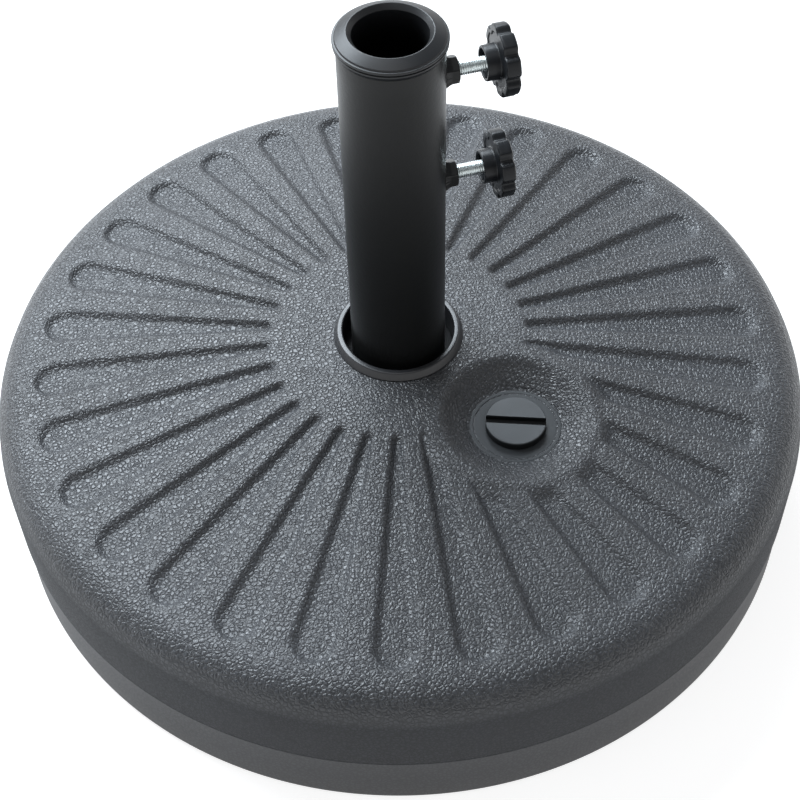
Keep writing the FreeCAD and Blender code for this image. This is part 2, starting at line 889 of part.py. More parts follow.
def build_sleeve():
    """Plastic sleeve in the tube's mouth: a domed lip outside and the pole guide inside."""
    body = new_body("top_sleeve")
    rim = POLE_R + cell("sleeve_bevel")
    top = TUBE_TOP + cell("sleeve_rise")
    lip = TUBE_R + cell("sleeve_lip_overhang")
    lip_top = TUBE_TOP + cell("sleeve_lip_height")
    dome_r = lip - cell("sleeve_dome_in")
    dome_z = lip_top + cell("sleeve_dome_rise")
    band = lip - cell("sleeve_band_in")
    low = TUBE_TOP - cell("sleeve_skirt")
    skirt = TUBE_BORE - cell("tube_gap")
    skirt_in = skirt - cell("sleeve_skirt_wall")
    guide = POLE_R + cell("guide_wall")
    roof = TUBE_TOP - cell("sleeve_roof")
    revolve(
        body,
        "sleeve",
        [
            (POLE_R, low),
            (POLE_R, top - cell("sleeve_bevel_height")),
            (rim, top),
            (rim + cell("sleeve_rim_flat"), top),
            (dome_r, dome_z),
            (lip, lip_top),
            (lip, TUBE_TOP + cell("sleeve_lip_underside")),
            (lip - cell("sleeve_groove_depth"), TUBE_TOP + cell("sleeve_groove_height")),
            (band, TUBE_TOP + cell("sleeve_band_height")),
            (band, TUBE_TOP),
            (skirt, TUBE_TOP),
            (skirt, low),
            (skirt_in, low),
            (skirt_in, roof),
            (guide, roof),
            (guide, low),
        ],
    )
    edges = rings(body, [(lip, lip_top), (dome_r, dome_z)])
    fillet(body, "lip_edges", edges, cell("sleeve_lip_round"))
    return body


# Places along each clamp screw, measured out from the tube's axis.
PAD_FACE = POLE_R + cell("pad_setback")
PAD_BACK = PAD_FACE + cell("pad_thickness")
NUT_FACE = TUBE_R + cell("nut_height")
HUB_FACE = NUT_FACE + cell("screw_exposed")
DISC_BACK = HUB_FACE + cell("hub_length")
KNOB_FRONT = DISC_BACK + cell("knob_thickness")
HEAD_LOW = KNOB_FRONT - cell("bolt_head_cover") - cell("bolt_head_height")


def build_nut(label, height):
    """Hexagon weld nut whose back is shaped to the tube."""
    body = new_body(label, X_TURN, 90.0, (ZERO, ZERO, height))
    flats = cell("nut_across_flats")
    half = flats / 2.0
    back = TUBE_R - flats
    outline = new_sketch(body, label + "_outline", "XY_Plane", (ZERO, ZERO, back))
    hexagon(outline, flats)
    pad(body, label + "_block", outline, NUT_FACE - back)
    reach = flats / math.sqrt(3.0) + OVER
    revolve(
        body,
        label + "_bevel",
        [
            (half, NUT_FACE),
            (reach, NUT_FACE - (reach - half) * tangent(cell("nut_bevel_angle"))),
            (reach, NUT_FACE + OVER),
            (half, NUT_FACE + OVER),
        ],
        cut=True,
    )
    bed = new_sketch(body, label + "_bed_outline", "YZ_Plane")
    circle(bed, TUBE_R)
    pocket(body, label + "_bed", bed, both=True)
    bore = new_sketch(body, label + "_bore_outline", "XY_Plane")
    circle(bore, SCREW_R + cell("thread_gap"))
    pocket(body, label + "_bore", bore, NUT_FACE + OVER, reverse=True)
    return body


def build_pad(label, height):
    """Pressure pad snapped on the screw's nose: it doesn't turn with the screw."""
    body = new_body(label, X_TURN, 90.0, (ZERO, ZERO, height))
    bore = NOSE_R + cell("nose_gap")
    floor = PAD_BACK - cell("pad_cup_depth")
    revolve(
        body,
        label + "_solid",
        [
            (ZERO, PAD_FACE),
            (PAD_R, PAD_FACE),
            (PAD_R, PAD_BACK),
            (bore, PAD_BACK),
            (bore, floor),
            (ZERO, floor),
        ],
    )
    return body


def build_bolt(label, height):
    """Clamp bolt: nose, threaded shank and the hexagon head held in the knob."""
    body = new_body(label, X_TURN, 90.0, (ZERO, ZERO, height))
    lead = cell("screw_lead")
    step = PAD_BACK + cell("nose_gap")
    end = step - cell("screw_nose_length")
    revolve(
        body,
        label + "_shank",
        [
            (ZERO, end),
            (NOSE_R, end),
            (NOSE_R, step),
            (SCREW_R - lead, step),
            (SCREW_R, step + lead),
            (SCREW_R, HEAD_LOW),
            (ZERO, HEAD_LOW),
        ],
    )
    head = new_sketch(body, label + "_head_outline", "XY_Plane", (ZERO, ZERO, HEAD_LOW))
    hexagon(head, cell("bolt_head_flats"))
    pad(body, label + "_head", head, cell("bolt_head_height"))
    return body


def build_knob(label, height):
    """Lobed knob moulded over the bolt's head, with a hollow hub towards the tube."""
    body = new_body(label, X_TURN, 90.0, (ZERO, ZERO, height))
    hub = cell("hub_radius")
    hub_in = hub - cell("hub_wall")
    recess = HUB_FACE + cell("hub_recess")
    disc = cell("knob_radius")
    thick = cell("knob_thickness")
    revolve(
        body,
        label + "_solid",
        [
            (SCREW_R, recess),
            (hub_in, recess),
            (hub_in, HUB_FACE),
            (hub, HUB_FACE),
            (hub, DISC_BACK),
            (disc, DISC_BACK),
            (disc, KNOB_FRONT),
            (ZERO, KNOB_FRONT),
            (ZERO, HEAD_LOW),
            (SCREW_R, HEAD_LOW),
        ],
    )
    notch_r = cell("knob_notch_radius")
    notch = new_sketch(body, label + "_notch_outline", "XY_Plane", (ZERO, ZERO, DISC_BACK - OVER))
    circle(notch, notch_r, disc + notch_r - cell("knob_notch_depth"))
    cut = pocket(body, label + "_notch", notch, thick + OVER + OVER, reverse=True)
    polar(body, label + "_notches", cut, cell("knob_lobes"))
    room = new_sketch(body, label + "_head_room", "XY_Plane", (ZERO, ZERO, HEAD_LOW))
    hexagon(room, cell("bolt_head_flats"))
    pocket(body, label + "_head_pocket", room, cell("bolt_head_height"), reverse=True)
    corners = []
    for number, edge in enumerate(body.Tip.Shape.Edges, start=1):
        ends = [vertex.Point for vertex in edge.Vertexes]
        on_rim = all(math.hypot(end.x, end.y) > disc.value - 1e-3 for end in ends)
        upright = len(ends) == 2 and abs(ends[0].z - ends[1].z) > thick.value / 2
        if on_rim and upright:
            corners.append("Edge%d" % number)
    fillet(body, label + "_lobe_corners", corners, cell("knob_lobe_round"))
    around = []
    for number, edge in enumerate(body.Tip.Shape.Edges, start=1):
        middle = edge.valueAt((edge.FirstParameter + edge.LastParameter) / 2)
        outside = math.hypot(middle.x, middle.y) > (hub.value + disc.value) / 2
        if edge.BoundBox.ZLength < 1e-6 and outside:
            around.append("Edge%d" % number)
    fillet(body, label + "_disc_edges", around, cell("knob_round"))
    return body


BODIES = [
    build_deck(),
    build_side(),
    build_floor(),
    build_well(),
    build_neck(),
    build_washer(),
    build_plug(),
    build_socket(),
    build_foot(),
    build_rivet("foot_rivet_right", 90.0),
    build_rivet("foot_rivet_left", -90.0),
    build_tube(),
    build_sleeve(),
]
for side, height in (("upper", UPPER_Z), ("lower", LOWER_Z)):
    BODIES.append(build_nut(side + "_weld_nut", height))
    BODIES.append(build_pad(side + "_pressure_pad", height))
    BODIES.append(build_bolt(side + "_clamp_bolt", height))
    BODIES.append(build_knob(side + "_knob", height))

doc.recompute()
for item in doc.Objects:
    for state in item.State:
        if state in ("Invalid", "Error"):
            raise RuntimeError("%s is in state %s" % (item.Name, state))
for body in BODIES:
    shape = body.Shape
    if shape.isNull() or not shape.isValid() or len(shape.Solids) != 1:
        raise RuntimeError("%s has no single valid solid" % body.Label)

os.makedirs("parts", exist_ok=True)
for body in BODIES:
    body.Shape.exportStep("parts/%s.step" % body.Label)
    print("%-20s %12.1f mm3" % (body.Label, body.Shape.Volume))
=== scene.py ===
"""Looks for a fillable parasol base: its skins, threads, finishes, light and camera.

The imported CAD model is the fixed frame. Every new piece here is a surface worked out from a
formula on a grid, in metres, in the CAD's own frame, and rides on a CAD body.
"""
import math

import bpy
import numpy as np
from bpy.props import FloatProperty, FloatVectorProperty, IntProperty, PointerProperty
from mathutils import Matrix, Vector


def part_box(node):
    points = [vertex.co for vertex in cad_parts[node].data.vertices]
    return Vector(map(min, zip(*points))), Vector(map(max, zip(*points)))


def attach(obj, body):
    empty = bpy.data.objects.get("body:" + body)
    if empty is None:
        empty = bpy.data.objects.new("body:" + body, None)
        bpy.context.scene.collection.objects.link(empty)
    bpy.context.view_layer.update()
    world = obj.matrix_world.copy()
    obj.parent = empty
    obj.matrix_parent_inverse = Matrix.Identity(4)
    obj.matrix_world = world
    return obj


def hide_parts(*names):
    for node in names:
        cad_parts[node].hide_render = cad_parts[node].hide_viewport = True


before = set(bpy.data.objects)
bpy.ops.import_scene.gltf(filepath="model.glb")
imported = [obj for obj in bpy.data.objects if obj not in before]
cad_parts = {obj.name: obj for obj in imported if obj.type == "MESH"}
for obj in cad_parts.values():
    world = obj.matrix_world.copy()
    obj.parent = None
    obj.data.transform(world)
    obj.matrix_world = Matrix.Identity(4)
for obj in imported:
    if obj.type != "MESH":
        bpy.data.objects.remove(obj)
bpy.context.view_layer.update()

bl_info = {
    "name": "Parasol base looks",
    "version": (1, 0, 0),
    "blender": (4, 5, 0),
    "location": "3D View > Sidebar > Parasol base",
    "description": "Skins, threads, finishes and stage for a fillable parasol base",
    "category": "Object",
}

MM = 0.001
BOX = {name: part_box(name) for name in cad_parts}
TANK_NODES = [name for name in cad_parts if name.startswith("tank_")]
DECK_TOP = max(BOX[name][1].z for name in TANK_NODES)


def size(label, note, default):
    """A length property in metres."""
    return FloatProperty(name=label, description=note, default=default, unit="LENGTH", precision=5)


def colour(label, note, default):
    """A colour property."""
    return FloatVectorProperty(name=label, description=note, default=default, size=3,
                               subtype="COLOR", min=0.0, max=1.0)


def camera_angle(label, note, default):
    """An angle property in radians."""
    return FloatProperty(name=label, description=note, default=default, subtype="ANGLE")


class TankSizes(bpy.types.PropertyGroup):
    """Sizes of the moulded tank's visible skin."""

    radius: size("Radius", "Outer radius of the tank", BOX["tank_side"][1].x)
    centre_height: size("Centre height", "Height of the deck round the socket", BOX["tank_deck"][1].z)
    well_radius: size("Well radius", "Radius of the well that holds the socket",
                      BOX["socket_collar"][1].x - 1.8 * MM)
    crown_radius: size("Crown radius", "Where the deck starts to slope", 72.0 * MM)
    crown_height: size("Crown height", "Deck height at the crown", 121.6 * MM)
    shoulder_height: size("Shoulder height", "Deck line's height at the outer wall", 102.8 * MM)
    shoulder_radius: size("Shoulder radius", "Rounding between deck and wall", 21.0 * MM)
    seam_height: size("Seam height", "Height of the mould's parting line", 44.0 * MM)
    seam_step: size("Seam step", "How far the lower band stands in", 0.8 * MM)
    flute_count: IntProperty(name="Flutes", description="Number of flutes in the deck",
                             default=30, min=3)
    flute_inner: size("Flute inner tip", "Radius where a flute starts", 77.5 * MM)
    flute_outer: size("Flute outer tip", "Radius where a flute ends", 226.0 * MM)
    flute_inner_round: size("Flute inner round", "Radius of the flute's inner end", 4.5 * MM)
    flute_outer_round: size("Flute outer round", "Radius of the flute's outer end", 13.4 * MM)
    flute_depth: size("Flute depth", "Depth of a flute", 3.5 * MM)
    flute_run: size("Flute wall run", "Width of a flute's sloping wall", 4.8 * MM)
    bowl_radius: size("Bowl radius", "Radius of the bowl's rim", 46.0 * MM)
    bowl_rim: size("Bowl rim", "Width of the flat rim round the bowl", 4.0 * MM)


class StageSettings(bpy.types.PropertyGroup):
    """Camera and light."""

    azimuth: camera_angle("Azimuth", "Camera's turn round the object", math.radians(-14.5))
    elevation: camera_angle("Elevation", "Camera's height angle", math.radians(50.6))
    roll: camera_angle("Roll", "Camera's turn about its own axis", -0.0262)
    distance: size("Distance", "Camera to aim point", 1.0345)
    aim_height: size("Aim height", "Height of the aim point", 0.0574)
    lens: FloatProperty(name="Lens", description="Focal length for a 36 mm sensor", default=72.26)


class BaseColours(bpy.types.PropertyGroup):
    """Colours of the finishes."""

    tank: colour("Tank", "Grained tank plastic", (0.05, 0.052, 0.057))
    smooth: colour("Smooth plastic", "Neck and plug", (0.045, 0.049, 0.053))
    socket: colour("Socket ring", "Ring round the tube", (0.03, 0.031, 0.034))
    tube: colour("Tube", "Powder coat on the tube and nuts", (0.011, 0.0115, 0.0115))
    sleeve: colour("Sleeve", "Plastic sleeve on the tube's top", (0.014, 0.015, 0.017))
    zinc: colour("Zinc", "Plated clamp screws", (0.8, 0.87, 0.87))
    knob: colour("Knob", "Moulded knobs", (0.016, 0.0175, 0.02))
    rubber: colour("Rubber", "Washer", (0.012, 0.012, 0.012))


# ---------------------------------------------------------------- surfaces

def grid_mesh(name, points, wrap_rows=False, pole_start=False, pole_end=False):
    """A mesh from a grid of points: rows run along the profile, columns go round and close."""
    rows, columns = points.shape[:2]
    index = np.arange(rows * columns).reshape(rows, columns)
    upper = index if wrap_rows else index[:-1]
    lower = np.roll(index, -1, axis=0) if wrap_rows else index[1:]
    quads = np.stack([upper, np.roll(upper, -1, 1), np.roll(lower, -1, 1), lower], -1).reshape(-1, 4)
    vertices = points.reshape(-1, 3)
    faces = quads.tolist()
    if pole_start:
        vertices = np.vstack([vertices, points[0].mean(0)])
        centre = len(vertices) - 1
        ring = index[0]
        faces += np.stack([np.roll(ring, -1), ring, np.full(columns, centre)], -1).tolist()
    if pole_end:
        vertices = np.vstack([vertices, points[-1].mean(0)])
        centre = len(vertices) - 1
        ring = index[-1]
        faces += np.stack([ring, np.roll(ring, -1), np.full(columns, centre)], -1).tolist()
    mesh = bpy.data.meshes.new(name)
    mesh.from_pydata(vertices.tolist(), [], faces)
    mesh.validate()
    mesh.polygons.foreach_set("use_smooth", np.ones(len(mesh.polygons), bool))
    piece = bpy.data.objects.new(name, mesh)
    bpy.context.scene.collection.objects.link(piece)
    return piece


def rounded(corners, steps=6):
    """A profile through (across, along, radius) corners: straight runs joined by tangent arcs.

    Each arc starts and ends at radius * tan(half the turn) from its corner and is drawn as a
    circle about the centre that lies on the corner's bisector.
    """
    corners = np.array(corners, float)
    places, radii = corners[:, :2], corners[:, 2]
    out = [places[0]]
    for before, here, after, radius in zip(places, places[1:], places[2:], radii[1:]):
        towards, onwards = before - here, after - here
        towards, onwards = towards / np.linalg.norm(towards), onwards / np.linalg.norm(onwards)
        half = math.acos(np.clip(towards @ onwards, -1, 1)) / 2
        if radius <= 0 or half > math.pi / 2 - 1e-3:
            out.append(here)
            continue
        reach = radius / math.tan(half)
        bisector = (towards + onwards) / np.linalg.norm(towards + onwards)
        centre = here + bisector * radius / math.sin(half)
        first, last = here + towards * reach - centre, here + onwards * reach - centre
        sweep = math.pi - 2 * half
        parts = np.linspace(0, 1, steps + 1)[:, None]
        arc = (np.sin((1 - parts) * sweep) * first + np.sin(parts * sweep) * last) / math.sin(sweep)
        out.extend(centre + arc)
    out.append(places[-1])
    return np.array(out)


def densify(profile, longest):
    """Extra points on the profile's long runs, at most `longest` apart."""
    pieces = [profile[:1]]
    for start, end in zip(profile[:-1], profile[1:]):
        count = max(1, int(math.ceil(np.linalg.norm(end - start) / longest)))
        parts = np.arange(1, count + 1)[:, None] / count
        pieces.append(start + (end - start) * parts)
    return np.vstack(pieces)


def rows_about_axis(radius, angle, height):
    """Points at (radius times cos and sin of the angle, height), one row for each height."""
    radius, height = radius + 0 * angle, height + 0 * angle
    return np.stack([radius * np.cos(angle), radius * np.sin(angle), height], -1)


def lathe(profile, columns=96, shape=None):
    """Points of a turned surface: radius times (cos, sin) of the column's angle, and height.

    `shape` may change the radius as a function of (radius, height, angle).
    """
    angle = np.linspace(0, 2 * math.pi, columns, endpoint=False)[None, :]
    radius = profile[:, :1] + 0 * angle
    height = profile[:, 1:] + 0 * angle
    if shape is not None:
        radius, height = shape(radius, height, angle)
    return rows_about_axis(radius, angle, height)


def along_x(points, height):
    """Turns a piece made about +Z so that it lies along +X at the given height."""
    return np.stack([points[..., 2], points[..., 1], height - points[..., 0]], -1)


def smooth_step(value):
    """0 below 0, 1 above 1, and 3v^2 - 2v^3 between."""
    value = np.clip(value, 0, 1)
    return value * value * (3 - 2 * value)


def soft_min(first, second, blend):
    """The smaller of two heights, rounded over `blend` where they cross."""
    mix = np.clip(0.5 + 0.5 * (second - first) / blend, 0, 1)
    return second * (1 - mix) + first * mix - blend * mix * (1 - mix) / 2 * 0.5


def soft_max(first, second, blend):
    """The larger of two heights, rounded over `blend` where they cross."""
    return -soft_min(-first, -second, blend)


# ---------------------------------------------------------------- finishes

class Finish:
    """One procedural material, built node by node about a Principled shader."""

    def __init__(self, name, base, roughness, metallic=0.0, **sockets):
        self.material = bpy.data.materials.new(name)
        self.material.use_nodes = True
        self.tree = self.material.node_tree
        self.shader = self.tree.nodes["Principled BSDF"]
        self.shader.inputs["Base Color"].default_value = (*base, 1)
        self.shader.inputs["Roughness"].default_value = roughness
        self.shader.inputs["Metallic"].default_value = metallic
        for socket, value in sockets.items():
            self.shader.inputs[socket.replace("_", " ")].default_value = value
        self.place = self.add("ShaderNodeTexCoord").outputs["Object"]
        self.base = base

    def add(self, kind, inputs=None, **settings):
        """A node with its settings and input values."""
        node = self.tree.nodes.new(kind)
        for key, value in settings.items():
            setattr(node, key, value)
        for key, value in (inputs or {}).items():
            if isinstance(value, bpy.types.NodeSocket):
                self.tree.links.new(value, node.inputs[key])
            else:
                node.inputs[key].default_value = value
        return node

    def noise(self, scale, detail=3.0, rough=0.5, place=None):
        """Fractal noise, 0 to 1."""
        node = self.add("ShaderNodeTexNoise", {"Vector": place or self.place, "Scale": scale,
                                               "Detail": detail, "Roughness": rough})
        return node.outputs["Fac"]

    def cell_edges(self, scale, place):
        """Distance from the nearest edge between scattered cells."""
        node = self.add("ShaderNodeTexVoronoi", {"Vector": place, "Scale": scale, "Randomness": 1.0},
                        feature="DISTANCE_TO_EDGE")
        return node.outputs["Distance"]

    def math(self, operation, first, second=0.0):
        """One sum on two values."""
        node = self.add("ShaderNodeMath", {0: first, 1: second}, operation=operation)
        return node.outputs[0]

    def span(self, value, low, high, to_low=0.0, to_high=1.0):
        """Maps one range to another, clamped."""
        node = self.add("ShaderNodeMapRange", {"Value": value, "From Min": low, "From Max": high,
                                               "To Min": to_low, "To Max": to_high})
        return node.outputs["Result"]

    def warp(self, scale, amount):
        """Object coordinates pushed about by noise."""
        noise = self.add("ShaderNodeTexNoise", {"Vector": self.place, "Scale": scale, "Detail": 2.0})
        centred = self.add("ShaderNodeVectorMath", {0: noise.outputs["Color"], 1: (0.5, 0.5, 0.5)},
                           operation="SUBTRACT")
        scaled = self.add("ShaderNodeVectorMath", {0: centred.outputs[0], "Scale": amount},
                          operation="SCALE")
        moved = self.add("ShaderNodeVectorMath", {0: self.place, 1: scaled.outputs[0]},
                         operation="ADD")
        return moved.outputs[0]

    def split(self):
        """X, Y and Z of the object coordinates."""
        return self.add("ShaderNodeSeparateXYZ", {0: self.place}).outputs

    def tint(self, amount, factor):
        """Base colour varied between darker and lighter by a 0 to 1 factor."""
        dark = [channel * (1 - amount) for channel in self.base]
        light = [min(1.0, channel * (1 + amount)) for channel in self.base]
        return self.colour_mix(factor, dark, light)

    def colour_mix(self, factor, dark, light):
        """A mix of two colours by a 0 to 1 factor."""
        return self.add("ShaderNodeMix", {"Factor": factor, "A": (*dark, 1), "B": (*light, 1)},
                        data_type="RGBA")

    def value_mix(self, factor, first, second):
        """A mix of two values by a 0 to 1 factor."""
        return self.add("ShaderNodeMix", {"Factor": factor, "A": first, "B": second},
                        data_type="FLOAT").outputs[0]

    def weighed(self, first, first_part, second, second_part):
        """The sum of two values, each times its part."""
        return self.math("ADD", self.math("MULTIPLY", first, first_part),
                         self.math("MULTIPLY", second, second_part))

    def colour_from(self, mix):
        """Links a colour mix to the shader."""
        output = next(item for item in mix.outputs if item.enabled and item.type == "RGBA")
        self.tree.links.new(output, self.shader.inputs["Base Color"])

    def roughness_from(self, factor, low, high):
        """Roughness between two values by a 0 to 1 factor."""
        self.tree.links.new(self.span(factor, 0, 1, low, high), self.shader.inputs["Roughness"])

    def bump(self, height, distance):
        """A bump of the given depth in metres."""
        node = self.add("ShaderNodeBump", {"Height": height, "Distance": distance, "Strength": 1.0})
        self.tree.links.new(node.outputs[0], self.shader.inputs["Normal"])


def tank_finish(base):
    """Polyethylene with a moulded grain: coarse pebbles on the deck, fine on the wall above the
    parting line, and smooth on the band below it and on the underside."""
    finish = Finish("tank grained polyethylene", base, 0.34, Specular_IOR_Level=0.6)
    seam = bpy.context.scene.parasol_tank.seam_height
    warped = finish.warp(420.0, 1.8 * MM)
    edge = finish.cell_edges(400.0, warped)
    pebble = finish.span(edge, 0.0, 0.26)
    crease = finish.noise(900.0, 2.0, 0.55, warped)
    deck = finish.weighed(pebble, 0.75, crease, 0.5)
    fine = finish.noise(1300.0, 2.0, 0.6)
    height = finish.split()[2]
    on_deck = finish.span(height, 84 * MM, 97 * MM)
    grained = finish.span(height, seam - 0.6 * MM, seam + 0.8 * MM)
    soft = finish.span(finish.noise(9.0, 2.0), 0.35, 0.65)
    relief = finish.math("MULTIPLY", finish.value_mix(on_deck, fine, deck), grained)
    finish.bump(relief, 0.42 * MM)
    # The colour is painted light where the pebble relief stands up and painted shade in the creases
    # between pebbles, mixed with a soft random tone.
    painted_pebble_shade_and_tone = finish.weighed(deck, 0.75, soft, 0.25)
    finish.colour_from(finish.tint(0.45, finish.span(painted_pebble_shade_and_tone, 0.2, 1.0)))
    dull = finish.span(height, seam - 2 * MM, seam + 2 * MM, 0.6, 0.82)
    gloss = finish.span(deck, 0.2, 1.0, 0.42, 0.28)
    finish.tree.links.new(finish.value_mix(on_deck, dull, gloss), finish.shader.inputs["Roughness"])
    return finish.material


def moulded_finish(name, base, roughness, specular):
    """Smooth moulded plastic: faint cloudiness, fine scuffs and a slight ripple."""
    finish = Finish(name, base, roughness, Specular_IOR_Level=specular)
    cloud = finish.noise(45.0, 3.0)
    finish.colour_from(finish.tint(0.12, cloud))
    speck = finish.noise(900.0, 2.0, 0.7)
    scuff = finish.math("MULTIPLY", finish.math("ADD", cloud, speck), 0.5)
    finish.roughness_from(scuff, roughness * 0.8, roughness * 1.25)
    finish.bump(finish.math("ADD", cloud, finish.math("MULTIPLY", speck, 0.12)), 0.12 * MM)
    return finish.material


def plug_finish(base):
    """Plug plastic: the head's top is painted pale as painted light, and its side and slot are
    painted dark as painted shade.
    """
    finish = Finish("plug plastic", base, 0.42, Specular_IOR_Level=0.36)
    top = BOX["fill_plug"][1].z
    cloud = finish.noise(60.0, 3.0)
    # Painted light and shade: the colour runs from painted shade lower than 1.3 mm under the head's
    # top to painted light within 0.35 mm of it, so the head's side and slot are darkened.
    painted_lit_top = finish.span(finish.split()[2], top - 1.3 * MM, top - 0.35 * MM)
    factor = finish.math("MULTIPLY", painted_lit_top, finish.span(cloud, 0.2, 0.7, 0.75, 1.0))
    dark, light = [channel * 0.13 for channel in base], [channel * 1.1 for channel in base]
    finish.colour_from(finish.colour_mix(factor, dark, light))
    speck = finish.noise(900.0, 2.0, 0.7)
    finish.roughness_from(finish.math("MULTIPLY", speck, painted_lit_top), 0.5, 0.32)
    finish.bump(finish.math("ADD", cloud, finish.math("MULTIPLY", speck, 0.12)), 0.12 * MM)
    return finish.material


def coat_finish(base):
    """Satin powder coat: orange peel and fine speckle."""
    finish = Finish("satin black powder coat", base, 0.36, Specular_IOR_Level=0.3)
    peel = finish.noise(420.0, 2.0, 0.5)
    speck = finish.noise(2200.0, 1.0, 0.5)
    finish.colour_from(finish.tint(0.15, finish.noise(30.0, 3.0)))
    finish.roughness_from(speck, 0.3, 0.46)
    finish.bump(finish.math("ADD", peel, finish.math("MULTIPLY", speck, 0.25)), 0.07 * MM)
    return finish.material


def zinc_finish(base):
    """Bright zinc plate with pale blooms and a fine tooth."""
    finish = Finish("bright zinc plate", base, 0.34, metallic=0.9)
    bloom = finish.noise(350.0, 3.0, 0.6)
    finish.colour_from(finish.tint(0.16, bloom))
    finish.roughness_from(bloom, 0.22, 0.42)
    finish.bump(finish.noise(3000.0, 2.0), 0.03 * MM)
    return finish.material


def rubber_finish(base):
    """Dull black rubber with a fine tooth."""
    finish = Finish("black rubber", base, 0.75)
    tooth = finish.noise(1500.0, 2.0)
    finish.colour_from(finish.tint(0.25, tooth))
    finish.roughness_from(tooth, 0.65, 0.9)
    finish.bump(tooth, 0.05 * MM)
    return finish.material


def rivet_finish():
    """Plain aluminium, faintly mottled."""
    finish = Finish("plain aluminium", (0.75, 0.76, 0.77), 0.4, metallic=1.0)
    mottle = finish.noise(1200.0, 2.0)
    finish.colour_from(finish.tint(0.1, mottle))
    finish.roughness_from(mottle, 0.3, 0.5)
    finish.bump(mottle, 0.02 * MM)
    return finish.material


FINISHES = {}


def make_finishes():
    """All materials of the object, by name."""
    colours = bpy.context.scene.parasol_colours
    plastics = (
        ("neck", "smooth grey plastic", colours.smooth, 0.5, 0.3),
        ("socket", "socket plastic", colours.socket, 0.3, 0.6),
        ("sleeve", "sleeve plastic", colours.sleeve, 0.4, 0.5),
        ("foot", "foot plastic", (0.007, 0.007, 0.008), 0.5, 0.2),
        ("knob", "knob plastic", colours.knob, 0.34, 0.3),
    )
    for key, name, base, roughness, specular in plastics:
        FINISHES[key] = moulded_finish(name, tuple(base), roughness, specular)
    FINISHES["tank"] = tank_finish(tuple(colours.tank))
    FINISHES["plug"] = plug_finish(tuple(channel * 1.35 for channel in colours.smooth))
    FINISHES["coat"] = coat_finish(tuple(colours.tube))
    FINISHES["zinc"] = zinc_finish(tuple(colours.zinc))
    FINISHES["rubber"] = rubber_finish(tuple(colours.rubber))
    FINISHES["rivet"] = rivet_finish()


def dress(piece, finish, body, slot, *nodes):
    """Gives a piece its finish, its body and the CAD nodes that it stands for; the slot argument is
    not used.
    """
    piece.data.materials.clear()
    piece.data.materials.append(FINISHES[finish])
    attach(piece, body)
    if nodes:
        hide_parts(*nodes)


def repaint(node, finish):
    """Gives a CAD node that stays visible its finish."""
    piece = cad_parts[node]
    if not piece.material_slots:
        piece.data.materials.append(FINISHES[finish])
    for slot in piece.material_slots:
        slot.material = FINISHES[finish]


# ---------------------------------------------------------------- tank

LEVEL_RADIUS = 45 * MM  # the deck is level inside this radius
DECK_EDGE = 228 * MM  # where the deck's straight slope gives way to the shoulder
SEAT_INSET = 5.0 * MM  # the neck's seat starts this far inside the bowl's floor
SEAT_DEPTH = 4.0 * MM  # and lies this far below it, under the neck's flange
NECK_HOLE = 15.7 * MM  # radius of the deck's hole for the neck
NECK_HOLE_FLOOR = 80 * MM  # height at which the skin closes that hole


def deck_slope(sizes):
    """Fall of the deck for each metre outwards, beyond the crown."""
    return (sizes.crown_height - sizes.shoulder_height) / (sizes.radius - sizes.crown_radius)


def deck_line(sizes, radius):
    """Plain deck height: level round the socket, a slight fall to the crown, then one straight
    slope to the outer wall."""
    run = sizes.crown_radius - LEVEL_RADIUS
    rise = (sizes.centre_height - sizes.crown_height) / run
    inner = sizes.crown_height + np.clip(sizes.crown_radius - radius, 0, run) * rise
    outer = sizes.crown_height - (radius - sizes.crown_radius) * deck_slope(sizes)
    return np.where(radius < sizes.crown_radius, inner, outer)


def flute_relief(sizes, radius, angle, start):
    """Depth of the flutes: how far inside a slot with two unequal round ends a point lies.

    The signed distance to the slot is the distance to its inner end circle, its outer end
    circle or their common tangent, whichever side of the two end normals the point is on.
    """
    pitch = 2 * math.pi / sizes.flute_count
    turn = (angle - start + pitch / 2) % pitch - pitch / 2
    near = sizes.flute_inner + sizes.flute_inner_round
    far = sizes.flute_outer - sizes.flute_outer_round
    across = np.abs(radius * np.sin(turn))
    along = radius * np.cos(turn) - near
    length = far - near
    lean = (sizes.flute_inner_round - sizes.flute_outer_round) / length
    upright = math.sqrt(1 - lean * lean)
    side = -lean * across + upright * along
    distance = across * upright + along * lean - sizes.flute_inner_round
    distance = np.where(side < 0, np.hypot(across, along) - sizes.flute_inner_round, distance)
    past_end = np.hypot(across, along - length) - sizes.flute_outer_round
    distance = np.where(side > upright * length, past_end, distance)
    return sizes.flute_depth * smooth_step((-distance + 0.3 * MM) / sizes.flute_run)


def neck_bearing():
    """Angle of the filling neck round the tank's axis."""
    centre = (BOX["fill_neck"][0] + BOX["fill_neck"][1]) / 2
    return math.atan2(centre.y, centre.x)


